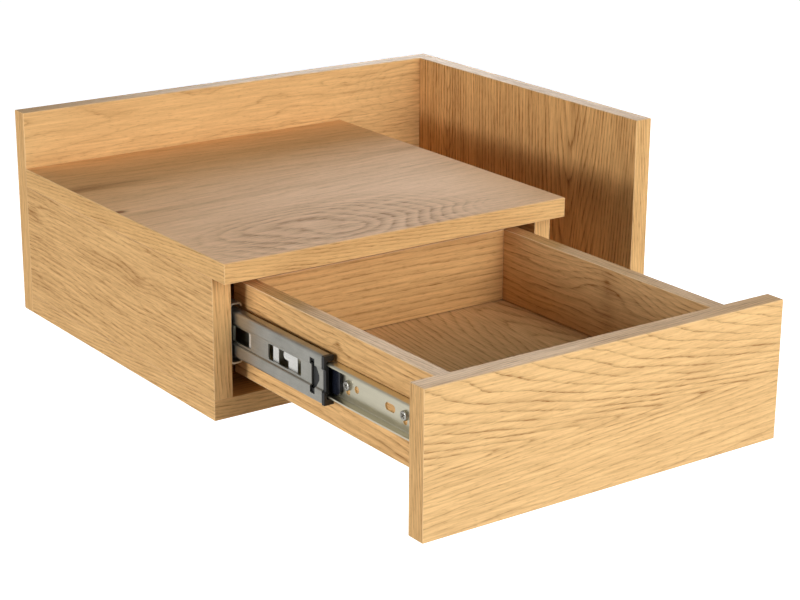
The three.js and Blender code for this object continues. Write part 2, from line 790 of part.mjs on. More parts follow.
const leverFront = drawerScrewRows.rear + slideScrewHeadDiameter / 2 + leverScrewGap
const leverPivot = leverFront + leverLength - leverPivotInset
const leverInner = drawerWebInner - fit
const leverOuter = leverInner - leverThickness

function drawerMember(side) {
  const section = channel(side, slideThickness, drawerTip, drawerHalf, drawerLip)
  const bar = alongY(section, frontBack + slideLength, frontBack)
  const bossStart = [across(side, leverOuter), leverPivot, slideHeightCentre]
  const bossShape = rod(leverPivotDiameter, leverThickness + fit + steelThickness / 2, 0)
  const boss = turned(bossShape, bossStart, side.inwards)
  const slotHeight = slideHeightCentre - drawerSlotDrop
  const screwSlots = Object.values(drawerScrewRows).map((y) =>
    roundedSlot(side, y, slotHeight, drawerSlotHeight, drawerSlotWidth, true))
  const oval = roundedSlot(
    side, frontBack + ovalHolePlace, slideHeightCentre, ovalHoleLength, ovalHoleHeight, false)
  const round = turned(
    rod(roundHoleDiameter, steelThickness, overrun),
    [across(side, drawerWebInner), frontBack + roundHolePlace, slideHeightCentre],
    side.inwards,
  )
  return cut(joined([bar, boss]), [...screwSlots, oval, round])
}

function cabinetMember(side) {
  const section = channel(side, 0, cabinetTip, cabinetHalf, cabinetLip)
  const bar = alongY(section, cabinetMemberRear, cabinetMemberFront)
  return cut(bar, cabinetScrewHoles(side))
}

// The release lever: an arm turning on the rivet, with a tall finger pad at its front end.
function releaseLever(side) {
  const rear = leverFront + leverLength
  const arm = leverHeight / 2
  const pad = leverPadHeight / 2
  const padRear = leverFront + leverPadLength
  const upper = [
    [rear, arm],
    [padRear, arm],
    [padRear - leverPadCorner, pad],
    [leverFront + leverPadCorner, pad],
    [leverFront, pad - leverPadCorner],
  ]
  const lower = upper.map(([y, v]) => [y, -v]).reverse()
  const points = [...upper, ...lower].map(([y, v]) => [y, slideHeightCentre + v])
  const blank = alongX(points, across(side, leverOuter), across(side, leverInner))
  const start = [across(side, leverOuter - overrun), leverPivot, slideHeightCentre]
  const holeShape = rod(leverPivotDiameter + 2 * fit, leverThickness + 2 * overrun, 0)
  return cut(blank, [turned(holeShape, start, side.inwards)])
}

const cabinetScrewShape = cabinetScrew(0)
const drawerScrewShape = panHeadScrew(drawerScrewLength)
const outerCageRear = outerCageFront + outerCageLength
const innerCageRear = innerCageFront + innerCageLength
for (const [name, side] of Object.entries(slideSides)) {
  add(carcass, `${name}_slide_cabinet_member`, cabinetMember(side), 'steel')
  add(carcass, `${name}_slide_outer_ball_cage`, outerCage(side, outerCageRear, outerCageFront), 'cage')
  add(carcass, `${name}_slide_middle_member`, middleMember(side), 'steel')
  add(carcass, `${name}_slide_bumper`, bumper(side), 'blackPlastic')
  add(drawer, `${name}_slide_inner_ball_cage`, innerCage(side, innerCageRear, innerCageFront), 'cage')
  add(drawer, `${name}_slide_drawer_member`, drawerMember(side), 'steel')
  add(drawer, `${name}_slide_release_lever`, releaseLever(side), 'blackPlastic')
  for (const [row, y] of Object.entries(cabinetScrewRows)) {
    const place = [across(side, steelThickness), y, slideHeightCentre]
    const screw = turned(cabinetScrewShape, place, side.outwards)
    add(carcass, `${name}_slide_cabinet_screw_${row}`, screw, 'screw')
  }
  for (const [row, y] of Object.entries(drawerScrewRows)) {
    const place = [across(side, drawerWebInner), y, slideHeightCentre]
    const screw = turned(drawerScrewShape, place, side.inwards)
    add(drawer, `${name}_slide_drawer_screw_${row}`, screw, 'screw')
  }
}

export default nightstand
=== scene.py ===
import math

import bmesh
import bpy
import numpy as np
from mathutils import Matrix, Vector, geometry


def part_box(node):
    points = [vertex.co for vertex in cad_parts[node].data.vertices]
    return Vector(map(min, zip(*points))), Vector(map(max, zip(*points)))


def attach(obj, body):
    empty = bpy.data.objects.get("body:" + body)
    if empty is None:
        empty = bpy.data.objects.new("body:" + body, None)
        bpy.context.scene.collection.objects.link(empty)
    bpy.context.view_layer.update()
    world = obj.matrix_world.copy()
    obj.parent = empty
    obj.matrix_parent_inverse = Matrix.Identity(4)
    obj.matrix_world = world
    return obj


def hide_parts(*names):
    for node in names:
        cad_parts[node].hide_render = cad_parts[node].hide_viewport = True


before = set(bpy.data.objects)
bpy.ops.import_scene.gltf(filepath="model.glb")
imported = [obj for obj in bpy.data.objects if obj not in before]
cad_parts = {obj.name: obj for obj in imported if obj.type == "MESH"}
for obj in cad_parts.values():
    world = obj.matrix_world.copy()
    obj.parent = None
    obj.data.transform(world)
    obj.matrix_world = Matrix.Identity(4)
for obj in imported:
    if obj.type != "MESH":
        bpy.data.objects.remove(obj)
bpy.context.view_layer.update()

# The studio is a white room. The unit hangs in the air in front of the camera, as on a wall, and a
# white floor lies half a metre below it. Five soft lamps light it plainly.
mm = 0.001
scene = bpy.context.scene
scene.view_settings.view_transform = "Standard"

room_light = 0.02
mirrored_share = 0.4
floor_drop = 530 * mm
floor_half_width = 8
floor_shade = 200
floor_lift = 0.985
lamps = {
    "front_lamp": {"place": (0.35, -3.0, 0.6), "size": 1.6, "power": 53},
    "high_lamp": {"place": (0.35, -3.0, 2.0), "size": 1.6, "power": 30},
    "left_lamp": {"place": (-1.9, -0.45, 0.12), "size": 0.5, "power": 11},
    "side_lamp": {"place": (-1.9, 0.1, 0.2), "size": 0.9, "power": 11.5},
    "rear_lamp": {"place": (1.5, 1.75, 0.85), "size": 1.2, "power": 27},
}
lamp_target = Vector((0, -0.27, 0))


class Field:
    """A value that varies over a surface: a node's output. Each sum, product or power of fields
    is one Math node in the same node tree."""

    def __init__(self, socket):
        self.socket = socket

    def math(self, operation, *others, clamp=False):
        made = self.socket.id_data.nodes.new("ShaderNodeMath")
        made.operation = operation
        made.use_clamp = clamp
        for entry, value in zip(made.inputs, (self, *others)):
            feed(entry, value)
        return Field(made.outputs[0])

    def __add__(self, other):
        return self.math("ADD", other)

    def __sub__(self, other):
        return self.math("SUBTRACT", other)

    def __mul__(self, other):
        return self.math("MULTIPLY", other)

    def __pow__(self, other):
        return self.math("POWER", other)

    def exp(self):
        return self.math("EXPONENT")

    def between(self, low, high):
        """0 below low, 1 above high and a straight climb between them."""
        return ((self - low) * (1 / (high - low))).math("ADD", 0, clamp=True)


def feed(entry, value):
    """Puts a number, a colour or a field into a node's input."""
    if isinstance(value, Field):
        entry.id_data.links.new(value.socket, entry)
    else:
        entry.default_value = value


def node(tree, kind, inputs=None, output=0, **settings):
    """One shader node with its settings and inputs, as a field of one of its outputs."""
    made = tree.nodes.new("ShaderNode" + kind)
    for name, value in settings.items():
        setattr(made, name, value)
    for name, value in (inputs or {}).items():
        feed(made.inputs[name], value)
    return Field(made.outputs[output])


def shade(red, green, blue):
    """A colour given in 8-bit screen values, as the linear colour that shaders take."""
    screen = np.array((red, green, blue)) / 255
    linear = np.where(screen <= 0.04045, screen / 12.92, ((screen + 0.055) / 1.055) ** 2.4)
    return (*(float(value) for value in linear), 1.0)


def new_material(name):
    """A material with no nodes yet, and its node tree."""
    made = bpy.data.materials.new(name)
    made.use_nodes = True
    made.node_tree.nodes.clear()
    return made, made.node_tree


def end_in(tree, kind, shader):
    """Ends a node tree in a shader."""
    feed(tree.nodes.new("ShaderNodeOutput" + kind).inputs["Surface"], shader)


def seen_directly(tree):
    """1 on rays from the camera or through glass, less on those off a glossy surface and 0 on
    the others."""
    rays = [node(tree, "LightPath", output=name)
            for name in ("Is Camera Ray", "Is Transmission Ray", "Is Glossy Ray")]
    return (rays[0] + rays[1] + rays[2] * mirrored_share).math("MINIMUM", 1)


world = bpy.data.worlds.new("white_room")
world.use_nodes = True
world.node_tree.nodes.clear()
end_in(world.node_tree, "World", node(world.node_tree, "Background", {
    "Color": shade(255, 255, 255),
    "Strength": seen_directly(world.node_tree) * (1 - room_light) + room_light,
}))
scene.world = world

floor_mesh = bpy.data.meshes.new("floor")
floor_corners = floor_half_width * np.array(((-1, -1), (1, -1), (1, 1), (-1, 1)))
floor_mesh.from_pydata([(x, y, -floor_drop) for x, y in floor_corners], [], [(0, 1, 2, 3)])
floor_paint, floor_tree = new_material("floor_paint")
matt = node(floor_tree, "BsdfDiffuse", {"Color": shade(*[floor_shade] * 3)})
glow = node(floor_tree, "Emission", {"Strength": seen_directly(floor_tree) * floor_lift})
end_in(floor_tree, "Material", node(floor_tree, "AddShader", {0: matt, 1: glow}))
floor_mesh.materials.append(floor_paint)
floor = bpy.data.objects.new("floor", floor_mesh)
scene.collection.objects.link(floor)

for name, lamp in lamps.items():
    light = bpy.data.lights.new(name, "AREA")
    light.shape = "DISK"
    light.size = lamp["size"]
    light.energy = lamp["power"]
    holder = bpy.data.objects.new(name, light)
    place = Vector(lamp["place"])
    holder.location = place
    holder.rotation_mode = "QUATERNION"
    holder.rotation_quaternion = (lamp_target - place).to_track_quat("-Z", "Y")
    scene.collection.objects.link(holder)

# The camera stands where the photograph was taken from, to the unit's front left and above it.
camera_place = Vector((-875.88, -1467.94, 454.61)) * mm
camera_azimuth = math.radians(-35.625)
camera_elevation = math.radians(18.412)
camera_roll = math.radians(0.411)
backwards = Vector((
    math.sin(camera_azimuth) * math.cos(camera_elevation),
    -math.cos(camera_azimuth) * math.cos(camera_elevation),
    math.sin(camera_elevation),
))
level_right = Vector((0, 0, 1)).cross(backwards).normalized()
turned_axes = Matrix((level_right, backwards.cross(level_right), backwards)).transposed()
camera_data = bpy.data.cameras.new("camera")
camera_data.lens = 92.448
camera_data.sensor_width = 36
camera = bpy.data.objects.new("camera", camera_data)
camera.matrix_world = (Matrix.Translation(camera_place) @ turned_axes.to_4x4()
                       @ Matrix.Rotation(camera_roll, 4, "Z"))
scene.collection.objects.link(camera)
scene.camera = camera

# The back panel is 15 mm particle board with an oak print on its faces and edges. It stands against
# the wall, and every other board of the carcass is screwed to it or butts against it.
edge_radius, edge_segments = 0.5, 3
oak_light = shade(240, 194, 132)
oak_dark = shade(150, 101, 52)
# A painted highlight: the lighter colour that the rounded edges of the boards are mixed towards.
painted_highlight_colour = shade(252, 222, 176)
hidden_face_shift = 310
banding_lines = dict(axis=-400, spacing=(2.7, 2.7), taper=0.03, sway=(1.6, 0.6), line=0.75, soft=3)
# Noise patches: length along the grain and width across it in millimetres, and detail.
slow_sway, quick_sway, shiver = (260, 60, 1), (70, 16, 2), (12, 3, 2)
line_strength = (60, 7, 2)
pore_patch, cloud_patch, thread_patch = (9, 0.8, 2), (120, 14, 2), (50, 2.2, 3)
fibre_patch, speck_patch = (24, 1.2, 3), (6, 1.0, 2)
shiver_share = 0.12
heart_blur = 0.15
line_least, line_more = 0.25, 0.85
pore_least, pore_more = 0.35, 0.65
speck_share, ground_share = 0.24, 0.15
# How far the painted edge highlight is broken up by the fibres.
highlight_ground = 0.75
oak_roughness, dark_roughness = 0.42, 0.2
relief_strength, oak_relief = 0.2, 0.15


def stretched_noise(tree, along, across, patch, seed):
    """Noise from -1 to 1 in patches of a length along the grain and a width across it."""
    length, width, detail = patch
    where = node(tree, "CombineXYZ", {
        "X": along * (1 / length), "Y": across * (1 / width), "Z": seed})
    raw = node(tree, "TexNoise", {"Vector": where, "Scale": 1.0, "Detail": detail}, output="Fac")
    return (raw - 0.5) * 2


def oval_spot(along, across, centre, height, length, width):
    """1 in the middle of an oval spot on a board, falling off smoothly around it."""
    away = ((along - centre) * (1 / length)) ** 2 + ((across - height) * (1 / width)) ** 2
    return (away * -1).exp()


def year_rings(tree, along, across, seed, axis=0, spacing=(5, 5), widen=0, taper=0.0, lean=0.0,
               heart=None, depth=(2.5, 0), knots=(), sway=(1.0, 0.3), line=1.0, soft=5, shown=None,
               within=None):
    """The year rings that a board shows, as lines from 0 to their strength. They are the whole
    numbers of a ring field: the distance from the heart of the tree (axis) over the spacing above
    or below it, which grows outwards from the spacing by widen. The rings close in arches along
    the grain, sharp ones (taper) or blunt ones where the heart lies deeper in the board at one
    end (depth and its slope). They lean more the further out they are, close in ovals about the
    heart, or swell round knots. Noise sways them. A stretch across the grain (shown), with what
    is left of them beyond it, or one from the heart outwards (within) can fade them."""
    off = across - axis
    below = along * depth[1] + depth[0]
    spread = off * off + below * below
    if heart:
        centre, squeeze = heart
        spread = spread + ((along - centre) * squeeze) ** 2
    near = far = spread.math("SQRT")
    stretch = 1
    if widen:
        stretch = near * (1 / widen) + 1
        near = stretch.math("LOGARITHM", math.e) * widen
    upper, lower = 1 / spacing[0], 1 / spacing[1]
    side = (off * heart_blur).math("TANH")
    rings = near * (side * ((upper - lower) / 2) + (upper + lower) / 2)
    rings = rings + along * taper + along * off * lean
    rings = rings + stretched_noise(tree, along, across, slow_sway, seed) * sway[0]
    rings = rings + stretched_noise(tree, along, across, quick_sway, seed + 5) * sway[1]
    rings = rings + stretched_noise(tree, along, across, shiver, seed + 9) * shiver_share
    for *knot, count in knots:
        rings = rings + oval_spot(along, across, *knot) * count

    ring = rings.math("FRACT")
    before, after = ring * stretch, (ring - 1) * stretch
    lines = (before * -soft).exp().math("MAXIMUM", (after * (3 * soft)).exp())
    strength = stretched_noise(tree, along, across, line_strength, seed + 4).between(-0.4, 0.4)
    lines = lines * (strength * line_more + line_least) * line
    if shown:
        left = shown[2] if len(shown) > 2 else 0
        lines = lines * (across.between(*shown[:2]) * (1 - left) + left)
    if within:
        lines = lines * far.between(*within)
    return lines


def mixed(tree, share, first, second, blend="MIX"):
    """Two colours mixed, or multiplied, by a share of the second."""
    made = node(tree, "Mix", data_type="RGBA", blend_type=blend).socket.node
    for entry, value in (("Factor", share), ("A", first), ("B", second)):
        feed(made.inputs[entry], value)
    return Field(made.outputs["Result"])


def relief(tree, height, strength, distance):
    """A fine relief in the surface, at most so many millimetres deep."""
    return node(tree, "Bump", {"Height": height, "Strength": strength, "Distance": distance * mm})


def finished(material, inputs):
    """Ends a material in one shader with these inputs."""
    tree = material.node_tree
    end_in(tree, "Material", node(tree, "BsdfPrincipled", inputs))
    return material


def oak(name, *figures, tint=(1, 1, 1), broad=0.15, fine=0.30, gloss=0.10, edge_highlight=0.3, knots=(),
        seed=0):
    """Printed oak: year rings broken up by pores, with threads, fibres, specks and broad darker
    stretches. Banded edges show straight lines of their own. The rounded edges are painted
    lighter, a painted highlight where light catches them. The tint multiplies the printed faces;
    on some boards it is painted light or shade. Each knot is a dark spot: its place along and
    across the grain, its length and width, and how dark it is."""
    made, tree = new_material(name)
    grain = node(tree, "UVMap", uv_map="grain")
    split = node(tree, "SeparateXYZ", {"Vector": grain}).socket.node
    along, across = Field(split.outputs["X"]), Field(split.outputs["Y"])
    banding = node(tree, "Attribute", output="Fac", attribute_name="banding")
    printed = banding * -1 + 1
    edge = node(tree, "Attribute", output="Fac", attribute_name="edge")

    lines = year_rings(tree, along, across, seed, **figures[0])
    for index, figure in enumerate(figures[1:]):
        lines = lines + year_rings(tree, along, across, seed + 20 + index, **figure)
    straight = year_rings(tree, along, across, seed + 50, **banding_lines)
    lines = lines + (straight - lines) * banding
    pores = stretched_noise(tree, along, across, pore_patch, seed + 2).between(-0.3, 0.3)
    clouds = stretched_noise(tree, along, across, cloud_patch, seed + 3)
    threads = stretched_noise(tree, along, across, thread_patch, seed + 8)
    fibres = stretched_noise(tree, along, across, fibre_patch, seed + 6)
    specks = stretched_noise(tree, along, across, speck_patch, seed + 7).between(0.12, 0.5)
    dark = lines * (pores * pore_more + pore_least) + clouds * broad + (threads + fibres) * fine
    dark = dark + specks * speck_share + ground_share
    for *knot, depth in knots:
        dark = dark + oval_spot(along, across, *knot) * printed * depth
    dark = dark.math("ADD", 0, clamp=True)

    plain = mixed(tree, dark, oak_light, oak_dark)
    tinted = mixed(tree, printed, plain, (*tint, 1.0), blend="MULTIPLY")
    return finished(made, {
        # Painted highlight: the rounded edge faces are mixed towards a lighter colour.
        "Base Color": mixed(tree, edge * (fibres + highlight_ground) * edge_highlight, tinted, painted_highlight_colour),
        "Roughness": dark * dark_roughness + oak_roughness,
        "Normal": relief(tree, dark * -1, relief_strength, oak_relief),
        "Specular IOR Level": gloss,
    })


smooth_below = math.radians(35)
weld, flat_within, plane_play = 0.001, math.radians(1), 0.01
square_on = 0.985


def place_piece(name, mesh, finish, body, slot, *replaced):
    """Makes a mesh a piece of the unit: it is shaded smoothly but for its sharp edges, rides on a
    body and stands for some CAD nodes."""
    mesh.name = name
    mesh.materials.append(finish)
    mesh.polygons.foreach_set("use_smooth", np.ones(len(mesh.polygons), bool))
    mesh.set_sharp_from_angle(angle=smooth_below)
    mesh.update()
    made = bpy.data.objects.new(name, mesh)
    scene.collection.objects.link(made)
    weighted = made.modifiers.new("even_normals", "WEIGHTED_NORMAL")
    weighted.keep_sharp = True
    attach(made, body)
    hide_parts(*replaced)


def merged_copy(source):
    """A bmesh of a CAD node with its loose triangles joined and its flat faces made whole."""
    shape = bmesh.new()
    shape.from_mesh(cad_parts[source].data)
    bmesh.ops.remove_doubles(shape, verts=shape.verts, dist=weld * mm)
    bmesh.ops.dissolve_limit(shape, angle_limit=flat_within, verts=shape.verts, edges=shape.edges)
    return shape


def bevelled(shape, edges, offset, segments):
    """Rounds some edges of a bmesh."""
    bmesh.ops.bevel(shape, geom=edges, offset=offset * mm, segments=segments, profile=0.5,
                    affect="EDGES")


def mesh_from(shape, name):
    """The mesh of a bmesh, which is freed."""
    mesh = bpy.data.meshes.new(name)
    shape.to_mesh(mesh)
    shape.free()
    return mesh


def read(items, attribute, width=1, kind=float):
    """An attribute of all a mesh's polygons, corners or vertices as one array."""
    values = np.empty(len(items) * width, kind)
    items.foreach_get(attribute, values)
    return values.reshape(-1, width) if width > 1 else values


def board(source, body, grain, wood, slack=0):
    """A board with its outer edges rounded, thinner than its CAD node by some slack. The grain map
    holds millimetres along and across the grain, shifted on the hidden face. Narrow faces, which
    carry a banding, are marked."""
    low, high = (np.array(corner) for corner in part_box(source))
    thickness = int(np.argmin(high - low))
    across = 3 - grain - thickness
    shape = merged_copy(source)

    def sides(vertex):
        place = np.array(vertex.co)
        return {(axis, end) for axis in range(3) for end, plane in enumerate((low, high))
                if abs(place[axis] - plane[axis]) < plane_play * mm}

    outer = [edge for edge in shape.edges if len(sides(edge.verts[0]) & sides(edge.verts[1])) > 1]
    bevelled(shape, outer, edge_radius, edge_segments)
    squeeze = np.ones(3)
    squeeze[thickness] -= slack * mm / (high - low)[thickness]
    bmesh.ops.scale(shape, vec=squeeze, space=Matrix.Translation(-Vector(low)), verts=shape.verts)
    mesh = mesh_from(shape, source)

    normals = read(mesh.polygons, "normal", 3)
    facing = np.abs(normals).argmax(axis=1)
    turned_away = np.abs(normals).max(axis=1) < square_on
    loops = read(mesh.polygons, "loop_total", kind=int)
    corner = read(mesh.vertices, "co", 3)[read(mesh.loops, "vertex_index", kind=int)] / mm
    face = np.repeat(facing, loops)
    towards_wall = np.repeat(normals[np.arange(len(facing)), facing] > 0, loops)
    hidden = towards_wall != (thickness == 2)
    on_face, on_end = face == thickness, face == grain
    map_u = np.where(on_end, corner[:, across], corner[:, grain]) + hidden_face_shift * hidden
    map_v = np.where(on_face, corner[:, across], corner[:, thickness])
    grain_map = mesh.uv_layers.new(name="grain")
    grain_map.data.foreach_set("uv", np.column_stack((map_u, map_v)).ravel())
    # The edge mask marks the rounded edge faces, where the oak paints its highlight.
    for name, marked in (("edge", turned_away), ("banding", facing != thickness)):
        mesh.attributes.new(name, "FLOAT", "FACE").data.foreach_set("value", marked.astype(float))
    place_piece(source + "_board", mesh, wood, body, "oak_decor", source)


back_oak = oak(
    "back_panel_oak",
    dict(axis=72, spacing=(14, 11), taper=0.004, sway=(2.4, 0.9), line=0.5, soft=9),
    dict(axis=58, spacing=(5, 5), heart=(176, 0.5), sway=(1.5, 2.0), line=0.35, within=(50, 16)),
    dict(axis=10, spacing=(3.0, 3.0), taper=0.006, sway=(0.8, 0.4), line=0.45, soft=3,
         shown=(50, 40)),
    fine=0.24, seed=11)
board("back_panel", "cabinet", 0, back_oak)

# The right end panel is the same board set upright, with its grain upright too. It is dowelled to
# the bottom board and screwed through the back panel, and closes the open slot.
end_oak = oak(
    "end_panel_oak",
    dict(axis=-233, spacing=(3.9, 2.7), depth=(36, -0.12), sway=(0.8, 0.35), line=1.15, soft=4),
    dict(axis=-57, spacing=(2.6, 2.6), depth=(14, -0.14), sway=(0.5, 0.3), line=0.7,
         within=(34, 14)),
    dict(axis=400, spacing=(2.7, 2.7), taper=0.004, sway=(1.4, 0.5), line=0.6, shown=(-200, -150)),
    broad=0.32, fine=0.40, tint=(1.03, 1.0, 0.95), seed=23)
board("right_end_panel", "cabinet", 2, end_oak)

# The cabinet top lies on the two cabinet sides, dowelled to them and screwed through the back
# panel. It is the unit's shelf, and its front edge stands out over the drawer front.
top_oak = oak(
    "cabinet_top_oak",
    dict(axis=-291, spacing=(8.5, 7.0), heart=(-80, 0.62), depth=(9, 0), taper=0.02,
         sway=(2.4, 0.4), line=0.85, soft=2, within=(88, 50)),
    dict(axis=-128, spacing=(11, 9), taper=0.012, sway=(1.4, 0.8), line=0.3, soft=4,
         shown=(-236, -210)),
    dict(axis=-330, spacing=(5, 5), taper=0.03, sway=(1.2, 0.8), line=0.3, shown=(-262, -286)),
    # The tint makes the top's print lighter and paler: painted sheen, for the light its top face
    # catches from above.
    tint=(1.13, 1.06, 1.08), broad=0.15, fine=0.2, gloss=0.035,
    knots=((-198, -167, 5, 3, 1.2), (-200, -96, 62, 8, 0.5), (-120, -180, 110, 5, 0.15),
           (130, -128, 90, 8, 0.2)), seed=37)
board("cabinet_top", "cabinet", 0, top_oak)

# The cabinet's two sides and its bottom stand under the top. The bottom runs on to the end panel
# below the open slot. Long screws hold the sides down to it from below.
side_oak = oak(
    "cabinet_side_oak",
    dict(axis=-110, spacing=(3.6, 3.6), taper=-0.006, sway=(2.6, 1.3), line=0.7, soft=3,
         knots=((-196, -6, 22, 9, 1.6), (-30, 4, 26, 8, 1.6))),
    dict(axis=60, spacing=(8, 8), taper=0.02, sway=(1.6, 0.9), line=0.4),
    broad=0.26, fine=0.3, knots=((-196, -7, 8, 3, 0.25), (-22, 4, 12, 3, 0.4)), seed=41)
bottom_oak = oak(
    "cabinet_bottom_oak", dict(axis=-90, spacing=(4, 4), line=0.8, sway=(2, 0.8)), seed=53)
board("cabinet_left_side", "cabinet", 1, side_oak)
board("cabinet_right_side", "cabinet", 1, side_oak)
board("cabinet_bottom", "cabinet", 0, bottom_oak)

# The drawer front covers the cabinet's open front below the top. It has no handle: its lower edge
# and the gap above it are the finger holds.
front_oak = oak(
    "drawer_front_oak",
    dict(axis=-33, spacing=(2.5, 2.3), widen=24, taper=0.028, lean=0.0002, sway=(0.9, 0.5),
         line=1.1, soft=4, shown=(-42, -30, 0.6)),
    broad=0.16, fine=0.34, tint=(1.01, 1.06, 1.13), seed=61)
board("drawer_front", "drawer", 0, front_oak)

# The drawer box has two sides and a back of thinner board, and a thin bottom that floats in a
# groove round all four. The groove's play above the bottom shows as a dark line.
bottom_slack = 0.5
box_oak = oak(
    "drawer_side_oak",
    dict(axis=60, spacing=(6, 6), taper=0.006, sway=(1.8, 1.0), line=0.9,
         knots=((-416, 3, 12, 4, 1.3), (-480, -18, 30, 9, 1.8))),
    knots=((-416, 3, 3, 1.5, 0.6),), fine=0.40, edge_highlight=0.9, tint=(1.0, 0.98, 0.97), seed=71)
knotty_oak = oak(
    "drawer_right_side_oak",
    dict(axis=60, spacing=(6, 6), taper=0.006, sway=(1.8, 1.2), line=0.9,
         knots=((-416, 2, 45, 16, 3.4), (-480, -18, 30, 9, 1.8))),
    knots=((-416, 3, 3, 1.5, 0.6), (-418, -8, 9, 30, 0.22), (-412, -4, 34, 26, 0.14)),
    # Its cooler tint is painted light: the pale light from above that the inside of the drawer
    # gets.
    fine=0.34, edge_highlight=0.9, tint=(0.98, 1.02, 1.12), seed=71)
box_back_oak = oak(
    "drawer_back_oak", dict(axis=-90, spacing=(5.5, 5.5), lean=0.00004, line=0.8), edge_highlight=0.9,
    # Its darker tint is painted shade, for the shade that the back stands in deep inside the
    # drawer.
    tint=(0.93, 0.91, 0.89), seed=83)
panel_oak = oak(
    "drawer_bottom_oak",
    dict(axis=18, spacing=(6.5, 4), depth=(108, 0.19), sway=(1.2, 0.5), line=0.9),
    # Its cooler tint is painted light: the pale light from above that falls into the open drawer.
    tint=(0.92, 0.98, 1.10), seed=97)
board("drawer_left_side", "drawer", 1, box_oak)
board("drawer_right_side", "drawer", 1, knotty_oak)
board("drawer_back", "drawer", 0, box_back_oak)
board("drawer_bottom", "drawer", 1, panel_oak, bottom_slack)

# Two keyhole hangers are let into the wall face of the back panel. Each is a plate of 2 mm zinc-
# plated steel with a round mouth and a narrow slot above it for the head of a wall screw.
both_sides = ("left", "right")
bend_step = math.radians(15)
keyhole_mouth, keyhole_slot = 10, 5
keyhole_drop, keyhole_rise = 8, 18
mouth_steps = 25
cut_weld, skin_weld = 1e-4, 0.0005
hanger_screw_inset, hanger_screw_hole = 7, 7.2
# Noise scales, in patches per millimetre: across and along the streaks, the clouds, the spangle.
streak_scale, streak_length = 1.6, 0.03
cloud_scale, spangle_scale = 0.06, 0.9
streak_share, cloud_share, spangle_share = 0.72, 1.1, 0.5
cloud_roughness = 0.15
fine_relief = 0.05


def speckled(tree, place, scale, detail=2):
    """Noise from 0 to 1 at a place, in so many patches per unit."""
    return node(tree, "TexNoise", {"Vector": place, "Scale": scale, "Detail": detail}, output="Fac")


def metal(name, light, dark, roughness, cloud=1.0):
    """Plated or rolled steel: drawn out in fine streaks along y, clouded by its plating, with a
    few brighter rubbed spots."""
    made, tree = new_material(name)
    place = node(tree, "TexCoord", output="Object")
    drawn = node(tree, "VectorMath", {0: place, 1: (1 / mm, streak_length / mm, 1 / mm)},
                 operation="MULTIPLY")
    streaks = speckled(tree, drawn, streak_scale, 3) - 0.5
    clouds = speckled(tree, place, cloud_scale / mm, 3) - 0.5
    spangle = speckled(tree, place, spangle_scale / mm) - 0.5
    plating = (clouds * cloud_share + spangle * spangle_share) * cloud
    mixing = (streaks * streak_share + plating + 0.5).math("ADD", 0, clamp=True)
    return finished(made, {
        "Base Color": mixed(tree, mixing, light, dark),
        "Metallic": 1,
        "Roughness": clouds * cloud_roughness + roughness,
        "Normal": relief(tree, streaks, relief_strength, fine_relief),
    })


def extent(name):
    """The lowest and highest corner of a CAD node in millimetres."""
    return [np.array(corner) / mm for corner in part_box(name)]


def section_line(corners):
    """The middle line of a bent sheet, seen along its bends. Each corner is (u, v, radius), and
    its arc is sampled in equal turns. Gives the points, their normals and the length run."""
    spots = np.array([corner[:2] for corner in corners], float)
    ways = np.diff(spots, axis=0)
    headings = np.arctan2(ways[:, 1], ways[:, 0])
    points, courses = [spots[:1]], [headings[:1]]
    for spot, (_, _, radius), before, after in zip(
            spots[1:-1], corners[1:-1], headings, headings[1:]):
        turn = (after - before + math.pi) % (2 * math.pi) - math.pi
        bend = math.copysign(radius, turn)
        onwards = np.array((math.cos(before), math.sin(before)))
        start = spot - radius * math.tan(abs(turn) / 2) * onwards
        centre = start + bend * np.array((-math.sin(before), math.cos(before)))
        course = before + turn * np.linspace(0, 1, math.ceil(abs(turn) / bend_step) + 1)
        points.append(centre + bend * np.column_stack((np.sin(course), -np.cos(course))))
        courses.append(course)
    points = np.concatenate((*points, spots[-1:]))
    course = np.concatenate((*courses, headings[-1:]))
    run = np.concatenate(([0], np.cumsum(np.linalg.norm(np.diff(points, axis=0), axis=1))))
    return points, np.column_stack((-np.sin(course), np.cos(course))), run - run[-1] / 2


def inside(points, outline):
    """Whether each point lies inside an outline, by how often a level ray from it crosses it."""
    first, second = outline, np.roll(outline, -1, axis=0)
    x, y = points[:, :1], points[:, 1:]
    straddles = (first[:, 1] > y) != (second[:, 1] > y)
    rise = np.where(second[:, 1] == first[:, 1], 1, second[:, 1] - first[:, 1])
    crossing = first[:, 0] + (y - first[:, 1]) * (second[:, 0] - first[:, 0]) / rise
    return (straddles & (x < crossing)).sum(axis=1) % 2 == 1


def stadium(centre, length, width, upright=False, steps=12):
    """The outline of a slot with round ends, or of a round hole where length and width match."""
    angles = (np.arange(2 * steps) + 0.5) * math.pi / steps
    straight = (length - width) / 2
    points = np.column_stack((np.cos(angles) * width / 2 + np.sign(np.cos(angles)) * straight,
                              np.sin(angles) * width / 2))
    return np.array(centre) + (points[:, ::-1] * (-1, 1) if upright else points)


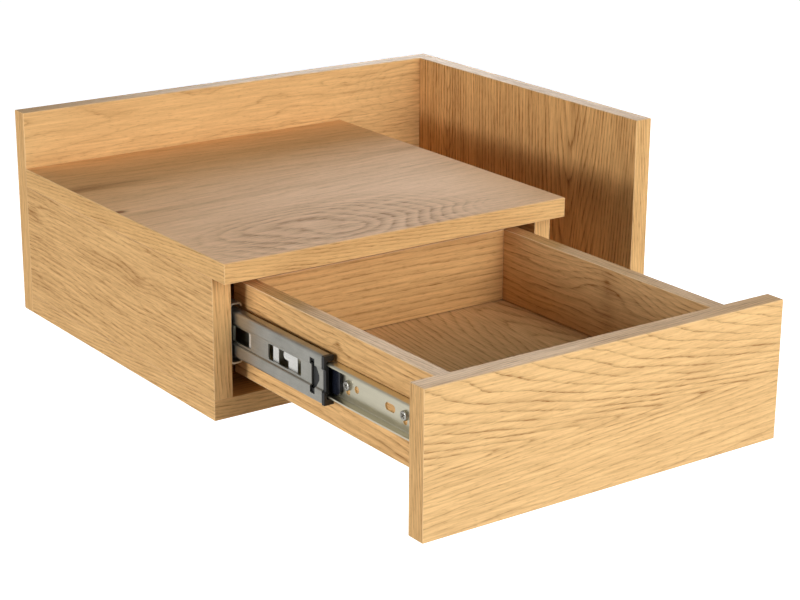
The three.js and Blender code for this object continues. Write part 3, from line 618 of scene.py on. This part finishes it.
def folded_sheet(line, gauge, rear, front, place, cuts=()):
    """Sheet steel cut flat and folded. The blank is meshed with a line along every bend station,
    the triangles in its openings are dropped, and what is left is folded to the section line and
    given two skins and the walls between them. Openings are (along, v) outlines in the web."""
    points, normals, run = line
    first, last = sorted((int(points[:, 1].argmin()), int(points[:, 1].argmax())))
    web = slice(first, last + 1)
    rising = np.argsort(points[web, 1])
    count = len(run)
    blank = [(along, station) for station in run for along in (front, rear)]
    edges = [(2 * index, 2 * index + 1) for index in range(count)]
    edges += [(index, index + 2) for index in range(2 * count - 2)]
    flat_cuts = []
    for cut in cuts:
        unfolded = np.interp(cut[:, 1], points[web, 1][rising], run[web][rising])
        flat = np.column_stack((cut[:, 0], unfolded))
        first = len(blank)
        blank += [tuple(corner) for corner in flat]
        edges += [(first + index, first + (index + 1) % len(flat)) for index in range(len(flat))]
        flat_cuts.append(flat)
    made = geometry.delaunay_2d_cdt([Vector(corner) for corner in blank], edges, [], 0, cut_weld)
    flat, faces = np.array(made[0]), np.array(made[2])
    middles = flat[faces].mean(axis=1)
    kept = np.ones(len(faces), bool)
    for cut in flat_cuts:
        kept &= ~inside(middles, cut)
    faces = faces[kept]

    middle = np.column_stack([np.interp(flat[:, 1], run, points[:, axis]) for axis in range(2)])
    outwards = np.column_stack([np.interp(flat[:, 1], run, normals[:, axis]) for axis in range(2)])
    outwards /= np.linalg.norm(outwards, axis=1)[:, None]
    skins = [np.column_stack((flat[:, 0], middle + half * outwards))
             for half in (gauge / 2, -gauge / 2)]
    rims = np.concatenate([faces[:, [0, 1]], faces[:, [1, 2]], faces[:, [2, 0]]])
    _, where, shared = np.unique(
        np.sort(rims, axis=1), axis=0, return_index=True, return_counts=True)
    rims = rims[where[shared == 1]]
    total = len(flat)
    walls = np.column_stack((rims[:, 1], rims[:, 0], rims[:, 0] + total, rims[:, 1] + total))
    everything = faces.tolist() + (faces[:, ::-1] + total).tolist() + walls.tolist()
    return place(np.concatenate(skins)), everything


def turned_rows(rows, start, direction):
    """A skin through rings of points. Each row is (radius or radii round the ring, distance)."""
    steps = max(np.size(radius) for radius, _ in rows)
    angles = np.arange(steps) * 2 * math.pi / steps
    direction = Vector(direction)
    sideways = direction.orthogonal().normalized()
    third = direction.cross(sideways)
    rings = [np.outer(np.cos(angles) * radius, sideways) + np.outer(np.sin(angles) * radius, third)
             + np.array(direction) * distance for radius, distance in rows]
    points = np.concatenate(rings) + np.array(start)
    first = np.arange(steps)
    after = (first + 1) % steps
    band = np.column_stack((first, after, after + steps, first + steps))
    faces = np.concatenate([band + steps * index for index in range(len(rows) - 1)])
    return points, faces.tolist()


def mesh_of(*parts):
    """One mesh from several lots of points and faces in millimetres, all facing outwards."""
    shape = bmesh.new()
    for points, faces in parts:
        corners = [shape.verts.new(point) for point in np.asarray(points) * mm]
        for face in faces:
            shape.faces.new([corners[index] for index in face])
    bmesh.ops.remove_doubles(shape, verts=shape.verts, dist=skin_weld * mm)
    bmesh.ops.recalc_face_normals(shape, faces=shape.faces)
    return mesh_from(shape, "piece")


hanger_zinc = metal("hanger_zinc", shade(196, 192, 180), shade(150, 148, 140), 0.34)
for side in both_sides:
    name = "wall_hanger_" + side
    low, high = extent(name)
    middle, (half_width, _, half_height) = (low + high) / 2, (high - low) / 2
    thickness = high[1] - low[1]
    mouth_height = -keyhole_drop
    slot_top = mouth_height + keyhole_rise
    flat_bar = section_line([(thickness / 2, -half_width, 0), (thickness / 2, half_width, 0)])
    shoulder = math.asin(keyhole_slot / keyhole_mouth)
    mouth = np.linspace(shoulder, 2 * math.pi - shoulder, mouth_steps)
    keyhole = np.concatenate((
        np.column_stack((mouth_height + np.cos(mouth) * keyhole_mouth / 2,
                         np.sin(mouth) * keyhole_mouth / 2)),
        [(slot_top, -keyhole_slot / 2), (slot_top, keyhole_slot / 2)],
    ))
    screw_row = half_height - hanger_screw_inset
    holes = [stadium((height, 0), hanger_screw_hole, hanger_screw_hole)
             for height in (screw_row, -screw_row)]

    def in_the_wall_face(points, middle=middle):
        return np.column_stack((middle[0] + points[:, 2], -points[:, 1], middle[2] + points[:, 0]))

    plate = folded_sheet(flat_bar, thickness, -half_height, half_height, in_the_wall_face,
                         [keyhole, *holes])
    place_piece(name + "_plate", mesh_of(plate), hanger_zinc, "cabinet", "hanger_steel", name)

# Countersunk screws hold the hangers and the slides' cabinet members. Long furniture screws with a
# hexagon socket join the boards. All are zinc-plated steel with rolled threads.
screw_steps = 32
cross_arm, cross_width, cross_depth = 1.9, 1.1, 1.4
hexagon_reach, hexagon_depth = 2.0, 2.6
socket_lead, socket_foot = 0.15, 0.7
rows_per_turn = 6
ridge_height, ridge_slope = 1.6, 4
tip_length, tip_share = 1.5, 0.3
small_rim, small_chamfer = 0.4, 0.1
small_shank, small_root, small_pitch = 1.75, 1.2, 1.3
long_rim, long_chamfer, long_neck = 0.4, 0.2, 1.5
long_shank, long_shank_length = 3.5, 13
long_thread, long_root, long_pitch = 2.5, 1.7, 2.5


def cross_outline(angles):
    """How far a cross-shaped driver recess reaches at each angle."""
    folded = np.abs((angles + math.pi / 4) % (math.pi / 2) - math.pi / 4)
    flank = cross_width / 2 / np.maximum(np.sin(folded), 0.01)
    return np.minimum(cross_arm / np.cos(folded), flank)


def hexagon_outline(angles):
    """How far a hexagon socket reaches at each angle."""
    folded = np.abs((angles + math.pi / 6) % (math.pi / 3) - math.pi / 6)
    return hexagon_reach / np.cos(folded)


def screw(start, direction, head, outline, depth, shank, thread, pitch, length):
    """A screw along a direction from its head. The head's rows and the shank's are (radius,
    distance). The thread climbs from the shank's end to the tip, a ridge that winds once round
    for each pitch."""
    angles = np.arange(screw_steps) * 2 * math.pi / screw_steps
    socket = outline(angles)
    top = head[0][1]
    rows = [(0 * angles, top + depth), (socket * socket_foot, top + depth),
            (socket, top + socket_lead), (socket + socket_lead, top)]
    rows += [(radius + 0 * angles, distance) for radius, distance in (*head, *shank)]
    root, crest = thread
    first, last, step = rows[-1][1], length - tip_length * crest, pitch / rows_per_turn
    for distance in np.arange(first + step, last, step):
        turn = (distance / pitch - angles / (2 * math.pi)) % 1
        ridge = np.clip(ridge_height - ridge_slope * np.abs(turn - 0.5), 0, 1)
        rows.append((root + (crest - root) * ridge, distance))
    rows += [(root + 0 * angles, last), (root * tip_share + 0 * angles, length),
             (0 * angles, length)]
    return turned_rows(rows, start, direction)


screw_zinc = metal("screw_zinc", shade(196, 193, 184), shade(150, 147, 140), 0.30)


def countersunk_screw(name, start, direction, head_radius, length):
    """A small countersunk wood screw, flush at its start."""
    head = [(head_radius - small_chamfer, 0), (head_radius, small_chamfer),
            (head_radius, small_rim)]
    neck = small_rim + head_radius - small_shank
    mesh = mesh_of(screw(start, direction, head, cross_outline, cross_depth,
                         [(small_shank, neck)], (small_root, small_shank), small_pitch, length))
    place_piece(name + "_metal", mesh, screw_zinc, "cabinet", "screw_steel", name)


for name in [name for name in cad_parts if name.startswith("wall_hanger_screw")]:
    low, high = extent(name)
    middle = (low + high) / 2
    countersunk_screw(name, (middle[0], high[1], middle[2]), (0, -1, 0), (high[0] - low[0]) / 2,
                      high[1] - low[1])

for name in [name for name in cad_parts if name.startswith(("rear_screw", "under_screw"))]:
    low, high = extent(name)
    middle = (low + high) / 2
    if name.startswith("under"):
        start, direction, length = (middle[0], middle[1], low[2]), (0, 0, 1), high[2] - low[2]
    else:
        start, direction, length = (middle[0], high[1], middle[2]), (0, -1, 0), high[1] - low[1]
    head_radius = (high[0] - low[0]) / 2
    head = [(head_radius - long_chamfer, 0), (head_radius, long_chamfer), (head_radius, long_rim)]
    shank = [(long_shank, long_rim + long_neck), (long_shank, long_shank_length),
             (long_root, long_shank_length)]
    mesh = mesh_of(screw(start, direction, head, hexagon_outline, hexagon_depth, shank,
                         (long_root, long_thread), long_pitch, length))
    place_piece(name + "_metal", mesh, screw_zinc, "cabinet", "screw_steel", name)

# Fluted beech dowels locate the boards: 8 mm in the carcass and 6 mm in the drawer box. The glue
# runs along their flutes.
flute_count, flute_depth, flute_share = 10, 0.25, -0.3
dowel_chamfer = 1
dowel_steps = 60


def beech(name):
    """Plain pale beech with fine pores along the dowel."""
    made, tree = new_material(name)
    flecks = speckled(tree, node(tree, "TexCoord", output="Object"), 0.7 / mm, 3)
    return finished(made, {
        "Base Color": mixed(tree, flecks.between(0.35, 0.7), shade(226, 200, 160),
                            shade(196, 160, 116)),
        "Roughness": flecks * 0.2 + 0.6,
    })


beech_wood = beech("beech_wood")
for name in [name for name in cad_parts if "dowel" in name]:
    low, high = extent(name)
    axis = int(np.argmax(high - low))
    start, direction = (low + high) / 2, np.zeros(3)
    start[axis], direction[axis] = low[axis], 1
    length, radius = high[axis] - low[axis], np.delete(high - low, axis).min() / 2
    angles = np.arange(dowel_steps) * 2 * math.pi / dowel_steps
    fluted = radius - flute_depth * (np.cos(angles * flute_count) < flute_share)
    tip = radius - dowel_chamfer
    mesh = mesh_of(turned_rows(
        [(0 * angles, 0), (tip + 0 * angles, 0), (fluted, dowel_chamfer),
         (fluted, length - dowel_chamfer), (tip + 0 * angles, length), (0 * angles, length)],
        start, direction))
    body = "drawer" if name.startswith("drawer") else "cabinet"
    place_piece(name + "_wood", mesh, beech_wood, body, "beech", name)

# Each slide's cabinet member is rolled from 1.2 mm steel strip: a web screwed to the cabinet side,
# two flanges that hold the outer balls, and lips turned in at their tips.
steel_gauge = 1.2
cabinet_lip, cabinet_bend, cabinet_lip_bend = 3, 2.0, 1.8
member_hole = 7.4
slide_steel = metal("slide_steel", shade(186, 184, 176), shade(150, 149, 141), 0.38)


def slide_place(side):
    """Puts points (along y, out from the cabinet side, up from the slide's centre) in place."""
    low, high = extent(side + "_slide_cabinet_member")
    face, sense = (low[0], 1) if side == "left" else (high[0], -1)
    height = (low[2] + high[2]) / 2
    return lambda points: np.column_stack(
        (face + sense * points[:, 1], points[:, 0], height + points[:, 2]))


def reach(side, part):
    """A slide piece's box from its slide: near and far from the cabinet side, front, rear, and
    half its height."""
    low, high = extent(f"{side}_slide_{part}")
    base, top = extent(side + "_slide_cabinet_member")
    face = base[0] if side == "left" else top[0]
    near, far = sorted((abs(low[0] - face), abs(high[0] - face)))
    return near, far, low[1], high[1], (high[2] - low[2]) / 2


def channel_line(web, tip, half, lip, bend, lip_bend, band=()):
    """The section of a channel between its tips, with whatever band its web is pressed into."""
    upper = [(tip, half - lip, 0), (tip, half, lip_bend), (web, half, bend), *band]
    lower = [(u, -v, radius) for u, v, radius in reversed(upper)]
    return section_line(upper + lower)


for side in both_sides:
    near, far, front, rear, half = reach(side, "cabinet_member")
    name = side + "_slide_cabinet_member"
    middle = steel_gauge / 2
    line = channel_line(near + middle, far - middle, half - middle, cabinet_lip - middle,
                        cabinet_bend, cabinet_lip_bend)
    rows = [extent(f"{side}_slide_cabinet_screw_{row}") for row in ("front", "rear")]
    holes = [stadium(((low[1] + high[1]) / 2, 0), member_hole, member_hole) for low, high in rows]
    sheet = folded_sheet(line, steel_gauge, rear, front, slide_place(side), holes)
    place_piece(name + "_steel", mesh_of(sheet), slide_steel, "cabinet", "slide_steel", name)

# Between each pair of members run two rows of steel balls in a pressed cage. The outer cage keeps
# them between the cabinet member and the middle member.
ball_steps, ball_rows = 16, 9
cage_gauge, cage_lip, cage_lip_bend = 0.6, 0.9, 0.6
outer_ball, outer_cage_bend = 3.6, 1.0
ball_play = 0.2
ball_end_margin, balls_per_row = 7, 7
cage_steel = metal("cage_steel", shade(236, 236, 232), shade(208, 208, 203), 0.45)


def balls(side, u, half, diameter, front, rear):
    """The balls of a cage's two rows."""
    around = np.linspace(0, math.pi, ball_rows)
    rows = [(diameter / 2 * math.sin(turn), -diameter / 2 * math.cos(turn)) for turn in around]
    rows = [(radius + np.zeros(ball_steps), distance) for radius, distance in rows]
    places = np.linspace(rear - ball_end_margin, front + ball_end_margin, balls_per_row)
    centres = slide_place(side)(np.array([(y, u, v) for v in (half, -half) for y in places]))
    return [turned_rows(rows, centre, (0, 0, 1)) for centre in centres]


def ball_cage(side, kind, holder, ball, bend, band=(), openings=()):
    """A cage and its balls, whose rows run against the flanges of the member that holds it."""
    name = f"{side}_slide_{kind}_ball_cage"
    near, far, front, rear, _ = reach(side, kind + "_ball_cage")
    _, holder_far, _, _, holder_half = reach(side, holder)
    row = holder_half - steel_gauge - ball_play - ball / 2
    middle = cage_gauge / 2
    line = channel_line(near + middle, far - middle, row, cage_lip, bend, cage_lip_bend, band)
    sheet = folded_sheet(line, cage_gauge, rear, front, slide_place(side), openings)
    ball_place = (near + cage_gauge + holder_far - steel_gauge) / 2
    mesh = mesh_of(sheet, *balls(side, ball_place, row, ball, front, rear))
    place_piece(name + "_steel", mesh, cage_steel, f"{side}_{kind}_cage", "cage_steel", name)


for side in both_sides:
    ball_cage(side, "outer", "cabinet_member", outer_ball, outer_cage_bend)

# The middle member runs between the two cages. A band pressed along its web stiffens it, and two
# windows and the opening for the bumper are punched through the band.
middle_lip, middle_bend, middle_lip_bend = 2.7, 1.6, 1.4
recess_depth, recess_top, recess_foot, recess_bend = 1.4, 8.1, 7.4, 0.5
window_height, window_corner = 11.4, 1.6
front_window, rear_window = (27, 68), (90.5, 114.5)
cut_front, cut_hook, cut_rear = 4.7, 8.5, 14.2
cut_half, cut_shoulder, cut_tip, cut_corner = 12.4, 7.5, 1.6, 0.4


def rounded(corners, radius, steps=4):
    """An outline with each of its corners rounded."""
    corners = np.array(corners, float)
    before = np.roll(corners, 1, axis=0) - corners
    after = np.roll(corners, -1, axis=0) - corners
    before /= np.linalg.norm(before, axis=1)[:, None]
    after /= np.linalg.norm(after, axis=1)[:, None]
    share = np.linspace(0, 1, steps + 1)[:, None, None]
    first, last = corners + before * radius, corners + after * radius
    bent = first * (1 - share) ** 2 + corners * 2 * share * (1 - share) + last * share ** 2
    return bent.transpose(1, 0, 2).reshape(-1, 2)


def window(start, end, half, corner):
    """A window through a web, from one place along it to another."""
    return rounded([(start, -half), (end, -half), (end, half), (start, half)], corner)


for side in both_sides:
    name = side + "_slide_middle_member"
    near, far, front, rear, half = reach(side, "middle_member")
    middle = steel_gauge / 2
    web = near + middle
    band = [(web, recess_top, recess_bend), (web + recess_depth, recess_foot, recess_bend)]
    line = channel_line(web, far - middle, half - middle, middle_lip - middle, middle_bend,
                        middle_lip_bend, band)
    upper = [(cut_rear, cut_half), (cut_hook, cut_half), (cut_hook, cut_shoulder),
             (cut_front, cut_tip)]
    lower = [(back, -height) for back, height in reversed(upper)]
    bumper_cut = rounded([(front + back, height) for back, height in upper + lower], cut_corner)
    windows = [window(front + start, front + end, window_height / 2, window_corner)
               for start, end in (front_window, rear_window)]
    sheet = folded_sheet(line, steel_gauge, rear, front, slide_place(side), [*windows, bumper_cut])
    place_piece(name + "_steel", mesh_of(sheet), slide_steel, side + "_middle", "slide_steel", name)

# A black moulded bumper closes the middle member's front end. Its nose caps the steel and its
# tongue lies behind the web, where it shows through the opening.
moulding_bevel, moulding_segments = 0.25, 2
sharp_above = math.radians(30)
texture_scale, patch_scale = 2.5, 0.15
patch_lift = 1.8


def moulded(name, colour, roughness):
    """Moulded plastic with a fine spark-eroded texture."""
    made, tree = new_material(name)
    place = node(tree, "TexCoord", output="Object")
    texture = speckled(tree, place, texture_scale / mm)
    patches = speckled(tree, place, patch_scale / mm).between(0.3, 0.8)
    lifted = (*(channel * patch_lift for channel in colour[:3]), 1.0)
    return finished(made, {
        "Base Color": mixed(tree, patches, colour, lifted),
        "Roughness": texture * 0.1 + roughness,
        "Normal": relief(tree, texture, 0.3, fine_relief),
    })


def moulding(name, finish, body):
    """A CAD node's shape with its sharp edges rounded, as a mould leaves them."""
    shape = merged_copy(name)
    sharp = [edge for edge in shape.edges if edge.calc_face_angle(0) > sharp_above]
    bevelled(shape, sharp, moulding_bevel, moulding_segments)
    place_piece(name + "_moulding", mesh_from(shape, name), finish, body, "black_plastic", name)


bumper_black = moulded("bumper_black", shade(13, 13, 13), 0.42)
for side in both_sides:
    moulding(side + "_slide_bumper", bumper_black, side + "_middle")

# The inner cage runs between the middle member and the drawer member. Its web is a ladder: three
# openings between rungs, with a round-ended tongue in the first of them.
inner_ball, inner_cage_bend = 3.2, 0.8
cage_opening_shares = ((0.13, 0.27), (0.35, 0.65), (0.71, 0.93))
cage_opening_half, cage_opening_corner = 8.5, 1.0
cage_band_top, cage_band_foot, cage_band_bend = 10.8, 10.0, 0.3
tongue_reach, tongue_width, tongue_raise, tongue_steps = 6.2, 5.6, 2.4, 9

for side in both_sides:
    near, _, front, rear, _ = reach(side, "inner_ball_cage")
    web = near + cage_gauge / 2
    band = [(web, cage_band_top, cage_band_bend),
            (web + recess_depth, cage_band_foot, cage_band_bend)]
    length = rear - front
    spans = [(front + length * start, front + length * end) for start, end in cage_opening_shares]
    first, last = spans[0]
    arc = np.linspace(-math.pi / 2, math.pi / 2, tongue_steps)
    tip = first + tongue_reach - tongue_width / 2
    tongue = np.column_stack((tip + np.cos(arc) * tongue_width / 2,
                              tongue_raise + np.sin(arc) * tongue_width / 2))
    opening = np.concatenate(([(first, -cage_opening_half), (last, -cage_opening_half),
                               (last, cage_opening_half), (first, cage_opening_half),
                               (first, tongue[-1][1])], tongue[::-1], [(first, tongue[0][1])]))
    openings = [window(*span, cage_opening_half, cage_opening_corner) for span in spans[1:]]
    ball_cage(side, "inner", "middle_member", inner_ball, inner_cage_bend, band,
              [opening, *openings])

# The drawer member is screwed to the drawer side through upright slots, which let the drawer be
# set level. The release lever turns on a rivet in its web.
drawer_lip, drawer_bend, drawer_lip_bend = 2, 1.2, 1.1
screw_places, slot_size, slot_drop = (41, 105), (10, 4.6), 1.6
oval_place, oval_size = 57.5, (11, 5.4)
round_place, round_size = 95, 5
rivet_radius, rivet_shoulder, rivet_root, rivet_steps = 2.0, 0.35, 0.3, 24
dimple_radius, dimple_foot, dimple_depth = 0.9, 0.6, 0.5
rivet_from_lever_rear = 12
slide_zinc = metal("slide_zinc", shade(224, 217, 193), shade(206, 200, 178), 0.32, cloud=0.4)

for side in both_sides:
    name = side + "_slide_drawer_member"
    near, far, front, rear, half = reach(side, "drawer_member")
    middle = steel_gauge / 2
    line = channel_line(far - middle, near + middle, half - middle, drawer_lip - middle,
                        drawer_bend, drawer_lip_bend)
    holes = [stadium((front + place, -slot_drop), *slot_size, upright=True)
             for place in screw_places]
    holes.append(stadium((front + oval_place, 0), *oval_size))
    holes.append(stadium((front + round_place, 0), round_size, round_size))
    sheet = folded_sheet(line, steel_gauge, rear, front, slide_place(side), holes)
    lever_near, _, _, lever_rear, _ = reach(side, "release_lever")
    pivot_along = lever_rear - rivet_from_lever_rear
    pivot = slide_place(side)(np.array([(pivot_along, far - steel_gauge, 0)]))[0]
    outwards = (-1, 0, 0) if side == "left" else (1, 0, 0)
    tall = far - steel_gauge - lever_near
    rivet = turned_rows([(radius + np.zeros(rivet_steps), distance) for radius, distance in (
        (0, -rivet_root), (rivet_radius, -rivet_root), (rivet_radius, tall - rivet_shoulder),
        (rivet_radius - rivet_shoulder, tall), (dimple_radius, tall),
        (dimple_foot, tall - dimple_depth), (0, tall - dimple_depth))], pivot, outwards)
    place_piece(name + "_steel", mesh_of(sheet, rivet), slide_zinc, "drawer", "slide_steel", name)

# The release lever lies in the drawer member. A finger pressed on its tall pad tilts it, and the
# drawer lifts off its slides.
lever_black = moulded("lever_black", shade(18, 21, 30), 0.16)
for side in both_sides:
    moulding(side + "_slide_release_lever", lever_black, side + "_lever")

# Pan-head screws hold the drawer members in their slots, and countersunk ones the cabinet members.
# All are small zinc-plated wood screws with a cross recess.
pan_height, pan_round, pan_neck = 2.2, 1.1, 1.2
for side, outwards in (("left", -1), ("right", 1)):
    for row in ("front", "rear"):
        name = f"{side}_slide_cabinet_screw_{row}"
        low, high = extent(name)
        middle = (low + high) / 2
        start = (high[0] if side == "left" else low[0], middle[1], middle[2])
        countersunk_screw(name, start, (outwards, 0, 0), (high[1] - low[1]) / 2, high[0] - low[0])
        name = f"{side}_slide_drawer_screw_{row}"
        low, high = extent(name)
        middle = (low + high) / 2
        radius = (high[1] - low[1]) / 2
        seat = (low[0] + pan_height if side == "left" else high[0] - pan_height, *middle[1:])
        arc = np.linspace(0.25, 1, 6) * math.pi / 2
        head = [(radius - pan_round + pan_round * math.sin(turn),
                 -pan_height * (0.5 + 0.5 * math.cos(turn))) for turn in arc] + [(radius, 0)]
        shank = [(small_shank, 0.01), (small_shank, pan_neck)]
        mesh = mesh_of(screw(seat, (-outwards, 0, 0), head, cross_outline, cross_depth, shank,
                             (small_root, small_shank), small_pitch,
                             high[0] - low[0] - pan_height))
        place_piece(name + "_metal", mesh, screw_zinc, "drawer", "screw_steel", name)
